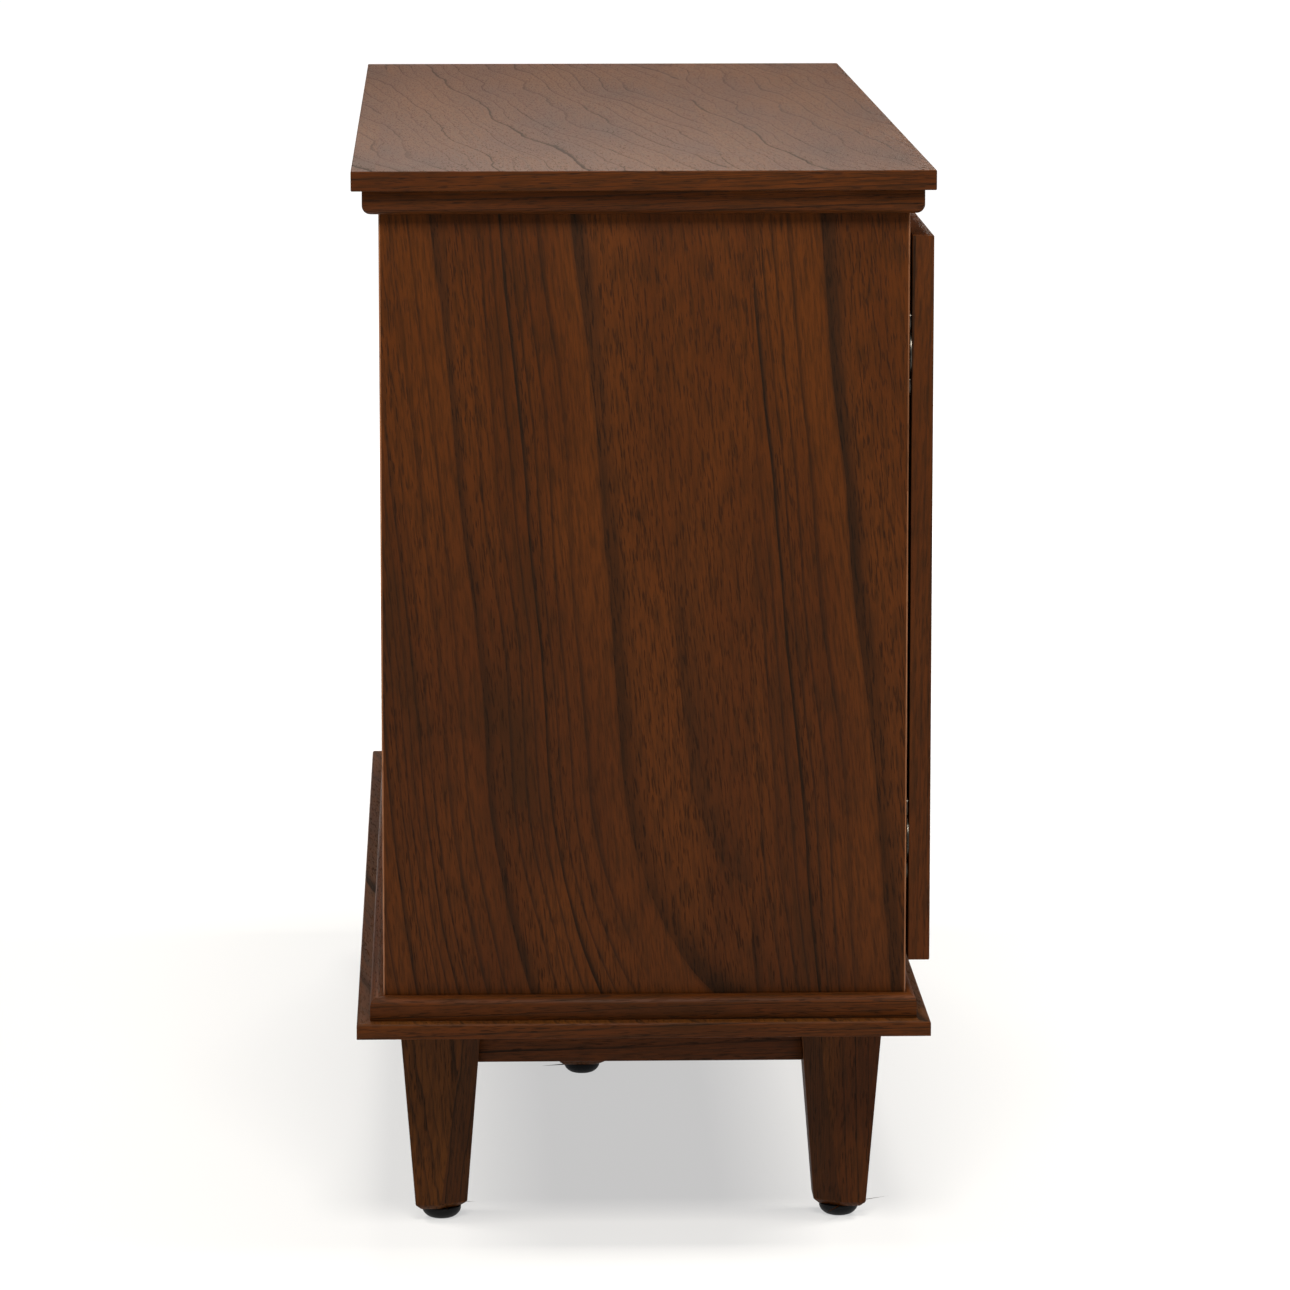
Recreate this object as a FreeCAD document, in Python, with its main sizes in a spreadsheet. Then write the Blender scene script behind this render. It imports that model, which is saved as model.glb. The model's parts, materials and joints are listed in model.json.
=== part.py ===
"""Sideboard buffet: a dining-room cabinet on tapered legs, with two doors and a bank of drawers.

Millimetres, +Z up, X along the length, and the doors and drawers face -Y.
The origin is on the floor, under the middle of the whole piece, its knobs included.
"""
import FreeCAD, Part
import Sketcher
import os
import re

from FreeCAD import Placement, Rotation, Vector

# Driving dimensions: the alias, its value and what it measures.
SIZES = [
    # overall
    ("length", 1194, "top, end to end"),
    ("depth", 432, "top, front edge to back edge"),
    ("height", 813, "floor to top"),
    ("knob_reach", 24, "knob, proud of the doors"),
    # top, base and the mouldings under and over them
    ("top_thick", 15, "top board"),
    ("base_thick", 12, "base board"),
    ("base_level", 172.5, "floor to the upper face of the base board"),
    ("arris", 1, "eased edge of the top, the doors and the drawer fronts"),
    ("base_arris", 2.5, "rounded upper edge of the base board"),
    ("moulding_rise", 18, "height of both mouldings"),
    ("moulding_round", 7, "quarter round of both mouldings"),
    ("top_moulding_inset", 8, "top edge to the face of the moulding under it"),
    ("base_moulding_inset", 10, "base edge to the face of the moulding on it"),
    # carcass
    ("end_inset", 20, "end of the top to the side panel"),
    ("front_inset", 18, "front edge of the top to the carcass"),
    ("back_inset", 20, "back edge of the top to the carcass"),
    ("board", 18, "side panels, cabinet floor and sub-top"),
    ("partition", 16, "partitions and shelves"),
    ("rail_thick", 20, "head rails, plinth rails and cross rails"),
    ("back_thick", 6, "plywood back"),
    ("rabbet", 8, "width of the rabbet that takes the back"),
    ("bank", 400, "drawer bank, middle to middle of its partitions"),
    # doors and drawer fronts
    ("front_thick", 16, "doors and drawer fronts"),
    ("front_gap", 2, "carcass to the back of the doors"),
    ("front_foot", 214.8, "floor to the lower edge of the doors"),
    ("front_head", 762.7, "floor to the upper edge of the doors"),
    ("front_lap", 12, "doors over the cabinet floor and over the sub-top"),
    ("seam", 3, "gap between neighbouring fronts"),
    ("door_end", 1, "outer face of the side panel to the door's edge"),
    # hinges
    ("cup_radius", 17.5, "bore for the hinge cup"),
    ("cup_deep", 12, "depth of the bore"),
    ("cup_edge", 5, "door's edge to the rim of the bore"),
    ("cup_wall", 1.2, "pressed steel of the cup and its flange"),
    ("flange_wide", 34, "flange of the hinge cup"),
    ("flange_high", 62, "flange of the hinge cup"),
    ("hinge_offset", 90, "door's end to the middle of its hinge"),
    ("arm_wide", 12, "hinge arm"),
    ("arm_high", 9, "hinge arm, off its plate"),
    ("arm_reach", 9, "nose of the arm, in front of the carcass"),
    ("arm_long", 80, "hinge arm, nose to tail"),
    ("plate_thick", 3, "mounting plate"),
    ("plate_wide", 20, "mounting plate"),
    ("plate_high", 50, "mounting plate"),
    ("plate_set", 37, "front of the carcass to the middle of the plate"),
    # shelves
    ("shelf_level", 478, "floor to the underside of the shelves"),
    ("shelf_play", 1, "gap round the shelf"),
    ("shelf_set", 25, "front of the carcass to the shelf"),
    ("pin_radius", 2.5, "shelf pin"),
    ("pin_deep", 8, "shelf pin in its hole, and out of it"),
    ("pin_step", 32, "step from hole to hole"),
    ("pin_front", 66, "front of the carcass to the front pins"),
    ("pin_back", 60, "back of the carcass to the back pins"),
    # drawer boxes and runners
    ("box_play", 1, "drawer box to the partition"),
    ("box_side", 14, "drawer sides"),
    ("box_back", 12, "drawer backs"),
    ("box_bottom", 6, "drawer bottoms"),
    ("box_high", 130, "drawer sides"),
    ("box_long", 370, "drawer sides"),
    ("box_lift", 20, "lower edge of the drawer front to the drawer side"),
    ("bottom_lift", 10, "lower edge of the drawer side to the bottom"),
    ("bottom_groove", 5, "depth of the groove for the bottom"),
    ("runner_high", 16, "runner"),
    ("runner_reach", 8, "runner, off the partition"),
    ("runner_play", 0.5, "runner to its groove, over and under"),
    ("runner_lift", 60, "lower edge of the drawer side to the runner"),
    ("runner_set", 26, "front of the carcass to the runner"),
    ("runner_long", 340, "runner"),
    ("groove_stop", 20, "front of the drawer side to the end of its groove"),
    # knobs
    ("knob_radius", 14, "knob"),
    ("knob_neck", 5.5, "knob's neck"),
    ("knob_foot", 9, "knob's foot on the wood"),
    ("foot_rim", 2.4, "straight rim of the knob's foot"),
    ("foot_high", 6, "knob's foot, rim and slope"),
    ("knob_head", 11, "thickness of the knob's head"),
    ("head_rim", 6.6, "straight rim of the knob's head"),
    ("knob_round", 4, "rounding of the knob's head"),
    ("spigot_radius", 3, "knob's spigot"),
    ("spigot_deep", 10, "knob's spigot in the wood"),
    ("knob_edge", 25, "inner edge of the door to its knob"),
    ("knob_level", 600, "floor to the door knobs"),
    # legs
    ("leg_top", 62.6, "leg, across at the top"),
    ("leg_foot", 39, "leg, across at the foot"),
    ("facet_wide_top", 13.7, "facet on a corner leg, along its outer face, at the top"),
    ("facet_deep_top", 8.5, "the same facet, square to that face"),
    ("facet_wide_foot", 21, "facet at the foot, along the face"),
    ("facet_deep_foot", 13, "facet at the foot, square to the face"),
    ("leg_end", 98, "end of the top to the middle of a corner leg"),
    ("leg_edge", 63, "front or back edge of the top to the middle of a corner leg"),
    ("centre_leg_back", 34, "middle leg, behind the centre line of the top"),
    ("glide_high", 9, "glide"),
    ("glide_radius", 15, "glide"),
    ("glide_round", 3, "glide's lower edge"),
    ("nail_radius", 2, "glide's nail"),
    ("nail_deep", 16, "glide's nail in the leg"),
    ("bolt_radius", 4, "hanger bolt"),
    ("bolt_deep", 35, "hanger bolt in the leg"),
    # rails under the base
    ("rail_high", 37.5, "cross rails and centre rail"),
    ("centre_rail_thick", 18, "centre rail"),
    # screws
    ("screw_radius", 2, "wood screw's shank"),
    ("head_radius", 4, "wood screw's head"),
    ("head_high", 3, "wood screw's countersunk head"),
    ("tip_high", 4, "wood screw's point"),
    ("top_screw", 55, "screws up into the top"),
    ("top_screw_out", 460, "middle of the top to its outer screws"),
    ("rail_screw", 32, "screws up into the base"),
    ("cross_screw_in", 72, "middle of a corner leg to the cross rail's screw"),
    ("centre_screw_out", 300, "middle of the centre rail to its outer screws"),
    ("centre_screw_in", 75, "middle of the centre rail to the screw beside the middle leg"),
    ("counterbore", 15, "depth of the sunk hole under the rail screws"),
    ("counterbore_radius", 5, "sunk hole under the rail screws"),
]
ALIASES = {alias for alias, _, _ in SIZES}

# Levels and planes, worked out from the driving dimensions.
FRONT = "(knob_reach - depth) / 2"
BACK = "(knob_reach + depth) / 2"
END = "length / 2"
CARCASS_END = "(length / 2 - end_inset)"
CARCASS_FRONT = f"({FRONT} + front_inset)"
CARCASS_BACK = f"({BACK} - back_inset)"
DOOR_BACK = f"({CARCASS_FRONT} - front_gap)"
DOOR_FRONT = f"({DOOR_BACK} - front_thick)"
TOP_LEVEL = "(height - top_thick)"
FLOOR_LEVEL = "(front_foot + front_lap)"
CEILING = "(front_head - front_lap)"
INNER_END = f"({CARCASS_END} - board)"
INNER_BACK = f"({CARCASS_BACK} - back_thick)"
BANK_OUTER = "(bank / 2 + partition / 2)"
BANK_INNER = "(bank / 2 - partition / 2)"
LEG_X = "(length / 2 - leg_end)"
LEG_FRONT_Y = f"({FRONT} + leg_edge)"
LEG_BACK_Y = f"({BACK} - leg_edge)"
CENTRE_LEG_Y = f"({FRONT} + depth / 2 + centre_leg_back)"
UNDER_BASE = "(base_level - base_thick)"
RAIL_FOOT = f"({UNDER_BASE} - rail_high)"
DOOR_OUTER = f"({CARCASS_END} - door_end)"
DOOR_INNER = "(bank / 2 + seam / 2)"
KNOB_X = f"({DOOR_INNER} + knob_edge)"
CUP_X = f"({DOOR_OUTER} - cup_edge - cup_radius)"
SIDES = ("left", "right")
HINGE_LEVELS = ("front_foot + hinge_offset", "front_head - hinge_offset")
DRAWERS = ("lower", "middle", "upper")

doc = FreeCAD.newDocument("Sideboard")
sheet = doc.addObject("Spreadsheet::Sheet", "Sizes")
for row, (alias, number, note) in enumerate(SIZES, 1):
    sheet.set(f"A{row}", note)
    sheet.set(f"B{row}", str(number))
    sheet.setAlias(f"B{row}", alias)
doc.recompute()

nodes = []


# Helpers

def cell(expression):
    """Name the sheet in front of each driving dimension of an expression."""
    return re.sub(r"[a-z_]+", lambda m: f"Sizes.{m[0]}" if m[0] in ALIASES else m[0], expression)


def value(expression):
    return float(sheet.evalExpression(cell(expression)))


def node(name, piece):
    """Make an object a piece of the sideboard, under the name of its file."""
    piece.Label = name
    nodes.append(piece)
    return piece


def place(piece, x, y, z):
    for axis, expression in zip("xyz", (x, y, z)):
        piece.setExpression(f"Placement.Base.{axis}", cell(expression))


def either_side(side, near, far):
    """The X stretch between two distances from the middle, to the left or to the right."""
    return (near, far) if side == "right" else (f"-({far})", f"-({near})")


def mirrored(side, distance):
    return distance if side == "right" else f"-({distance})"


def board(name, x, y, z):
    """A square-edged board between a low and a high plane along each axis."""
    box = doc.addObject("Part::Box", name)
    for size, (low, high) in zip(("Length", "Width", "Height"), (x, y, z)):
        box.setExpression(size, cell(f"({high}) - ({low})"))
    place(box, x[0], y[0], z[0])
    return box


def rod(name, start, direction, radius, length):
    """A cylinder from its start along a direction."""
    cylinder = doc.addObject("Part::Cylinder", name)
    cylinder.Placement = Placement(Vector(), Rotation(Vector(0, 0, 1), Vector(*direction)))
    cylinder.setExpression("Radius", cell(radius))
    cylinder.setExpression("Height", cell(length))
    place(cylinder, *start)
    return cylinder


def group(name, pieces):
    compound = doc.addObject("Part::Compound", name)
    compound.Links = pieces
    return compound


def cut(name, piece, tools):
    """Take tools away from a piece."""
    result = doc.addObject("Part::Cut", name)
    result.Base = piece
    result.Tool = tools[0] if len(tools) == 1 else group(f"{name}_tools", tools)
    return result


def fuse(name, pieces):
    result = doc.addObject("Part::MultiFuse", name)
    result.Shapes = pieces
    return result


def sketch_on(body, role, offset):
    """An empty sketch on one of the body's own planes, or offset from it along its normal."""
    sketch = body.newObject("Sketcher::SketchObject", f"{body.Name}_sketch")
    plane = next(part for part in body.Origin.OriginFeatures if part.Role == role)
    sketch.AttachmentSupport = (plane, "")
    sketch.MapMode = "FlatFace"
    sketch.setExpression("AttachmentOffset.Base.z", cell(offset))
    return sketch


def pin_down(sketch, geometry, point, x, y):
    """Bind a point of a sketch's geometry to the sheet."""
    for kind, expression in (("DistanceX", x), ("DistanceY", y)):
        measure = Sketcher.Constraint(kind, -1, 1, geometry, point, value(expression))
        number = sketch.addConstraint(measure)
        sketch.setExpression(f"Constraints[{number}]", cell(expression))


def outline(body, role, points, offset="0"):
    """A closed outline of straight lines whose corners are bound to the sheet."""
    sketch = sketch_on(body, role, offset)
    corners = [Vector(value(x), value(y), 0) for x, y in points]
    for start, end in zip(corners, corners[1:] + corners[:1]):
        sketch.addGeometry(Part.LineSegment(start, end))
    for line, (x, y) in enumerate(points):
        following = (line + 1) % len(points)
        sketch.addConstraint(Sketcher.Constraint("Coincident", line, 2, following, 1))
        pin_down(sketch, line, 1, x, y)
    return sketch


def pad(body, sketch, length):
    feature = body.newObject("PartDesign::Pad", f"{body.Name}_pad")
    feature.Profile = sketch
    feature.setExpression("Length", cell(length))
    doc.recompute()
    return feature


def bore(body, role, offset, centre, radius, depth, along_normal):
    """A blind round hole from a plane, along the plane's normal or against it."""
    sketch = sketch_on(body, role, offset)
    x, y = centre
    sketch.addGeometry(Part.Circle(Vector(value(x), value(y), 0), Vector(0, 0, 1), value(radius)))
    number = sketch.addConstraint(Sketcher.Constraint("Radius", 0, value(radius)))
    sketch.setExpression(f"Constraints[{number}]", cell(radius))
    pin_down(sketch, 0, 3, x, y)
    before = body.Shape.Volume
    feature = body.newObject("PartDesign::Pocket", f"{body.Name}_bore")
    feature.Profile = sketch
    feature.Reversed = along_normal
    feature.setExpression("Length", cell(depth))
    doc.recompute()
    if body.Shape.Volume >= before:
        raise RuntimeError(f"{feature.Name} cuts nothing")


def ease(body, radius, chosen):
    """Round the edges of a body that a test chooses."""
    solid = body.Tip
    names = [f"Edge{i}" for i, edge in enumerate(solid.Shape.Edges, 1) if chosen(edge.BoundBox)]
    feature = body.newObject("PartDesign::Fillet", f"{body.Name}_eased")
    feature.Base = (solid, names)
    feature.setExpression("Radius", cell(radius))
    doc.recompute()


def new_body(name):
    return doc.addObject("PartDesign::Body", name)


def plan_board(name, corners, low, high):
    """A board drawn in plan and padded upwards from its lower face."""
    body = new_body(name)
    pad(body, outline(body, "XY_Plane", corners, low), f"({high}) - ({low})")
    return body


def rectangle(x, y):
    return [(x[0], y[0]), (x[1], y[0]), (x[1], y[1]), (x[0], y[1])]


def near(a, expression):
    return abs(a - value(expression)) < 0.01


def screw(name, x, y, head_level, length):
    """A countersunk wood screw that points upwards, its head flush at its level."""
    head = doc.addObject("Part::Cone", f"{name}_head")
    head.setExpression("Radius1", cell("head_radius"))
    head.setExpression("Radius2", cell("screw_radius"))
    head.setExpression("Height", cell("head_high"))
    place(head, x, y, head_level)
    shank_foot = f"{head_level} + head_high"
    shank_long = f"{length} - head_high - tip_high"
    shank = rod(f"{name}_shank", (x, y, shank_foot), (0, 0, 1), "screw_radius", shank_long)
    tip = doc.addObject("Part::Cone", f"{name}_tip")
    tip.setExpression("Radius1", cell("screw_radius"))
    tip.setExpression("Radius2", "0")
    tip.setExpression("Height", cell("tip_high"))
    place(tip, x, y, f"{head_level} + {length} - tip_high")
    return fuse(name, [head, shank, tip])


# Top and base boards

LONG = (f"-{END}", END)
DEEP = (FRONT, BACK)
INSIDE = (f"-{INNER_END}", INNER_END)
TO_BACK = (CARCASS_FRONT, INNER_BACK)

RAIL_YS = {
    "front": (CARCASS_FRONT, f"{CARCASS_FRONT} + rail_thick"),
    "back": (f"{INNER_BACK} - rail_thick", INNER_BACK),
}
TOP_SCREW_XS = ("-top_screw_out", "0", "top_screw_out")
top_screws = group("top_screws_group", [
    screw(f"top_screw_{end}_{i}", x, f"({low} + {high}) / 2", CEILING, "top_screw")
    for end, (low, high) in RAIL_YS.items()
    for i, x in enumerate(TOP_SCREW_XS)
])
node("top_screws", top_screws)

top = plan_board("top_blank", rectangle(LONG, DEEP), TOP_LEVEL, "height")
ease(top, "arris", lambda box: box.ZLength < 1)
node("top_slab", cut("top_slab", top, [top_screws]))

RAIL_SCREW_XYS = [
    (mirrored(side, LEG_X), y)
    for side in SIDES
    for y in (f"{LEG_FRONT_Y} + cross_screw_in", f"{LEG_BACK_Y} - cross_screw_in")
]
CENTRE_RAIL_Y = f"({CENTRE_LEG_Y} - leg_top / 2 - centre_rail_thick / 2)"
CENTRE_SCREW_XS = ("-centre_screw_out", "centre_screw_in", "centre_screw_out")
RAIL_SCREW_XYS += [(x, CENTRE_RAIL_Y) for x in CENTRE_SCREW_XS]
SCREW_FOOT = f"({RAIL_FOOT} + counterbore)"
rail_screws = group("rail_screws_group", [
    screw(f"rail_screw_{i}", x, y, SCREW_FOOT, "rail_screw") for i, (x, y) in enumerate(RAIL_SCREW_XYS)
])
node("rail_screws", rail_screws)
counterbores = group("counterbores", [
    rod(f"counterbore_{i}", (x, y, RAIL_FOOT), (0, 0, 1), "counterbore_radius", "counterbore")
    for i, (x, y) in enumerate(RAIL_SCREW_XYS)
])

LEG_PLACES = {
    "leg_front_left": (f"-{LEG_X}", LEG_FRONT_Y, 0),
    "leg_front_right": (LEG_X, LEG_FRONT_Y, 90),
    "leg_back_right": (LEG_X, LEG_BACK_Y, 180),
    "leg_back_left": (f"-{LEG_X}", LEG_BACK_Y, 270),
    "leg_centre": ("0", CENTRE_LEG_Y, 0),
}
BOLT_FOOT = f"({UNDER_BASE} - bolt_deep)"
leg_bolts = group("leg_bolts_group", [
    rod(f"{leg}_bolt", (x, y, BOLT_FOOT), (0, 0, 1), "bolt_radius", "bolt_deep + base_thick")
    for leg, (x, y, _) in LEG_PLACES.items()
])
node("leg_bolts", leg_bolts)

base = plan_board("base_blank", rectangle(LONG, DEEP), UNDER_BASE, "base_level")
ease(base, "base_arris", lambda box: box.ZLength < 1 and near(box.ZMax, "base_level"))
node("base_slab", cut("base_slab", base, [rail_screws, leg_bolts]))


# Mouldings: four mitred strips under the top and four on the base

def moulding(name, inset, low, high, rounded_level):
    """Strips between the carcass and a face that stands in from the top's edge by the inset."""
    face_x, face_front, face_back = f"{END} - {inset}", f"{FRONT} + {inset}", f"{BACK} - {inset}"
    outer = rectangle((f"-({face_x})", face_x), (face_front, face_back))
    inner = rectangle((f"-{CARCASS_END}", CARCASS_END), (CARCASS_FRONT, CARCASS_BACK))
    for i, part in enumerate(("front", "right", "back", "left")):
        following = (i + 1) % 4
        corners = [outer[i], outer[following], inner[following], inner[i]]
        strip = plan_board(f"{name}_{part}", corners, low, high)
        (x0, y0), (x1, y1) = outer[i], outer[following]
        middle = [(value(a) + value(b)) / 2 for a, b in ((x0, x1), (y0, y1))]
        along = max(abs(value(x1) - value(x0)), abs(value(y1) - value(y0)))

        def on_face(box):
            centred = abs(box.Center.x - middle[0]) < 0.01 and abs(box.Center.y - middle[1]) < 0.01
            return centred and near(box.ZMax, rounded_level) and box.DiagonalLength > along - 1

        ease(strip, "moulding_round", on_face)
        node(strip.Name, strip)


MOULDING_FOOT = f"({TOP_LEVEL} - moulding_rise)"
MOULDING_HEAD = "(base_level + moulding_rise)"
moulding("top_moulding", "top_moulding_inset", MOULDING_FOOT, TOP_LEVEL, MOULDING_FOOT)
moulding("base_moulding", "base_moulding_inset", "base_level", MOULDING_HEAD, MOULDING_HEAD)


# Carcass

def pin_rows(name, side, face, outwards, steps):
    """Round tools or pins for one shelf, on the face of a board, at some steps from the shelf."""
    rods = []
    for column, y in enumerate((f"{CARCASS_FRONT} + pin_front", f"{CARCASS_BACK} - pin_back")):
        for step in steps:
            start = (mirrored(side, face), y, f"shelf_level - pin_radius + {step} * pin_step")
            direction = (outwards if side == "right" else -outwards, 0, 0)
            rods.append(rod(f"{name}_{column}_{step + 1}", start, direction, "pin_radius", "pin_deep"))
    return rods


PIN_STEPS = (-1, 0, 1)
pins = []
for side in SIDES:
    panel = board(f"{side}_panel_blank", either_side(side, INNER_END, CARCASS_END),
                  (CARCASS_FRONT, CARCASS_BACK), ("base_level", TOP_LEVEL))
    rabbet = board(f"{side}_rabbet", either_side(side, INNER_END, f"{INNER_END} + rabbet"),
                   (INNER_BACK, CARCASS_BACK), ("base_level", TOP_LEVEL))
    holes = pin_rows(f"{side}_panel_hole", side, INNER_END, 1, PIN_STEPS)
    node(f"side_panel_{side}", cut(f"side_panel_{side}", panel, [rabbet] + holes))

    wall = board(f"{side}_partition_blank", either_side(side, BANK_INNER, BANK_OUTER), TO_BACK,
                 (FLOOR_LEVEL, CEILING))
    holes = pin_rows(f"{side}_partition_hole", side, BANK_OUTER, -1, PIN_STEPS)
    node(f"partition_{side}", cut(f"partition_{side}", wall, holes))

    shelf_x = either_side(side, f"{BANK_OUTER} + shelf_play", f"{INNER_END} - shelf_play")
    shelf_y = (f"{CARCASS_FRONT} + shelf_set", f"{INNER_BACK} - shelf_play")
    node(f"shelf_{side}", board(f"shelf_{side}", shelf_x, shelf_y,
                                ("shelf_level", "shelf_level + partition")))

    for wall_name, face, outwards in (("panel", f"{INNER_END} + pin_deep", -1),
                                      ("partition", f"{BANK_OUTER} - pin_deep", 1)):
        for pin in pin_rows(f"{side}_{wall_name}_pin", side, face, outwards, (0,)):
            pin.setExpression("Height", cell("2 * pin_deep"))
            pins.append(pin)

node("shelf_pins", group("shelf_pins", pins))

node("cabinet_floor", board("cabinet_floor", INSIDE, TO_BACK, (f"{FLOOR_LEVEL} - board", FLOOR_LEVEL)))
sub_top = board("sub_top_blank", INSIDE, TO_BACK, (CEILING, f"{CEILING} + board"))
node("sub_top", cut("sub_top", sub_top, [top_screws]))
for end, y in RAIL_YS.items():
    head = board(f"head_rail_{end}_blank", INSIDE, y, (f"{CEILING} + board", TOP_LEVEL))
    node(f"head_rail_{end}", cut(f"head_rail_{end}", head, [top_screws]))
    node(f"plinth_rail_{end}", board(f"plinth_rail_{end}", INSIDE, y,
                                     ("base_level", f"{FLOOR_LEVEL} - board")))

BACK_X = f"({INNER_END} + rabbet)"
node("back_panel", board("back_panel", (f"-{BACK_X}", BACK_X), (INNER_BACK, CARCASS_BACK),
                         ("base_level", TOP_LEVEL)))


# Legs, glides and the rails between the legs

def square(half):
    return rectangle((f"-{half}", half), (f"-{half}", half))


def faceted(half, wide, deep):
    """A square whose outer corner, at the low end of both axes, lies between two facets."""
    low, high = f"-{half}", half
    return [
        (low, low),
        (f"{high} - {wide}", low),
        (high, f"{low} + {deep}"),
        (high, high),
        (f"{low} + {deep}", high),
        (low, f"{high} - {wide}"),
    ]


def leg(name, x, y, turn, foot, head):
    """A tapered leg, lofted from its foot to its head, with holes for a nail and a bolt."""
    body = new_body(name)
    long = f"({UNDER_BASE} - glide_high)"
    loft = body.newObject("PartDesign::AdditiveLoft", f"{name}_taper")
    loft.Profile = outline(body, "XY_Plane", foot)
    loft.Sections = [outline(body, "XY_Plane", head, long)]
    loft.Ruled = True
    doc.recompute()
    bore(body, "XY_Plane", "0", ("0", "0"), "nail_radius", "nail_deep", True)
    bore(body, "XY_Plane", long, ("0", "0"), "bolt_radius", "bolt_deep", False)
    body.Placement = Placement(Vector(), Rotation(Vector(0, 0, 1), turn))
    place(body, x, y, "glide_high")
    return body


def glide(name, x, y):
    """A round plastic foot on a nail."""
    body = new_body(name)
    profile = [
        ("0", "0"),
        ("glide_radius", "0"),
        ("glide_radius", "glide_high"),
        ("nail_radius", "glide_high"),
        ("nail_radius", "glide_high + nail_deep"),
        ("0", "glide_high + nail_deep"),
    ]
    turned(body, profile)
    ease(body, "glide_round", lambda box: near(box.ZMax, "0") and near(box.XLength / 2, "glide_radius"))
    place(body, x, y, "0")
    return body


FULL_TURN = 360


def turned(body, profile):
    """Turn a profile, drawn as radius and height, round the body's Z axis."""
    revolution = body.newObject("PartDesign::Revolution", f"{body.Name}_turned")
    sketch = outline(body, "XZ_Plane", profile)
    revolution.Profile = sketch
    revolution.ReferenceAxis = (sketch, ["V_Axis"])
    revolution.Angle = FULL_TURN
    doc.recompute()


FOOT_FACETS = faceted("leg_foot / 2", "facet_wide_foot", "facet_deep_foot")
HEAD_FACETS = faceted("leg_top / 2", "facet_wide_top", "facet_deep_top")
glides = []
for name, (x, y, turn) in LEG_PLACES.items():
    plain = name == "leg_centre"
    foot = square("leg_foot / 2") if plain else FOOT_FACETS
    head = square("leg_top / 2") if plain else HEAD_FACETS
    node(name, leg(name, x, y, turn, foot, head))
    glides.append(glide(f"{name}_glide", x, y))
node("glides", group("glides", glides))

RAIL_HALF_HEAD = f"({LEG_BACK_Y} - {LEG_FRONT_Y} - leg_top) / 2"
LEG_SLOPE = f"((leg_top - leg_foot) / 2 / ({UNDER_BASE} - glide_high))"
RAIL_HALF_FOOT = f"({RAIL_HALF_HEAD} + rail_high * {LEG_SLOPE})"
RAIL_MIDDLE = f"({LEG_BACK_Y} + {LEG_FRONT_Y}) / 2"
for side in SIDES:
    rail = new_body(f"cross_rail_{side}_blank")
    rail_corners = [
        (f"{RAIL_MIDDLE} - {RAIL_HALF_FOOT}", RAIL_FOOT),
        (f"{RAIL_MIDDLE} + {RAIL_HALF_FOOT}", RAIL_FOOT),
        (f"{RAIL_MIDDLE} + {RAIL_HALF_HEAD}", UNDER_BASE),
        (f"{RAIL_MIDDLE} - {RAIL_HALF_HEAD}", UNDER_BASE),
    ]
    near_face = f"{mirrored(side, LEG_X)} - rail_thick / 2"
    pad(rail, outline(rail, "YZ_Plane", rail_corners, near_face), "rail_thick")
    node(f"cross_rail_{side}", cut(f"cross_rail_{side}", rail, [rail_screws, counterbores]))

centre_rail = board("centre_rail_blank", (f"-({LEG_X} - rail_thick / 2)", f"{LEG_X} - rail_thick / 2"),
                    (f"{CENTRE_RAIL_Y} - centre_rail_thick / 2", f"{CENTRE_RAIL_Y} + centre_rail_thick / 2"),
                    (RAIL_FOOT, UNDER_BASE))
node("centre_rail", cut("centre_rail", centre_rail, [rail_screws, counterbores]))


# Knobs

def knob(name, x, z):
    """A turned knob that points out of a front, with a spigot in the wood."""
    body = new_body(name)
    turned(body, [
        ("0", "-spigot_deep"),
        ("spigot_radius", "-spigot_deep"),
        ("spigot_radius", "0"),
        ("knob_foot", "0"),
        ("knob_foot", "foot_rim"),
        ("knob_neck", "foot_high"),
        ("knob_neck", "knob_reach - knob_head"),
        ("knob_radius", "knob_reach - head_rim"),
        ("knob_radius", "knob_reach"),
        ("0", "knob_reach"),
    ])
    ease(body, "knob_round",
         lambda box: near(box.ZMin, "knob_reach") and near(box.XLength / 2, "knob_radius"))
    body.Placement = Placement(Vector(), Rotation(Vector(1, 0, 0), 90))
    place(body, x, DOOR_FRONT, z)
    return node(name, body)


def front_board(name, x, z, knob_at):
    """A door or drawer front, its front edges eased, bored for its knob."""
    body = plan_board(name, rectangle(x, (DOOR_FRONT, DOOR_BACK)), *z)
    ease(body, "arris", lambda box: near(box.YMax, DOOR_FRONT))
    bore(body, "XZ_Plane", f"-{DOOR_FRONT}", knob_at, "spigot_radius", "spigot_deep", False)
    return body


# Doors and hinges

def hinge_cup(name, side, z):
    """A pressed cup in the door's bore, with a flange on the door's back."""
    x = mirrored(side, CUP_X)
    flange_x = either_side(side, f"{CUP_X} - flange_wide / 2", f"{CUP_X} + flange_wide / 2")
    flange_y = (DOOR_BACK, f"{DOOR_BACK} + cup_wall")
    flange = board(f"{name}_flange", flange_x, flange_y,
                   (f"{z} - flange_high / 2", f"{z} + flange_high / 2"))
    shell = rod(f"{name}_shell", (x, DOOR_BACK, z), (0, -1, 0), "cup_radius", "cup_deep")
    hollow_start = (x, f"{DOOR_BACK} + cup_wall", z)
    hollow = rod(f"{name}_hollow", hollow_start, (0, -1, 0), "cup_radius - cup_wall", "cup_deep")
    return cut(name, fuse(f"{name}_pressing", [flange, shell]), [hollow])


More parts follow.
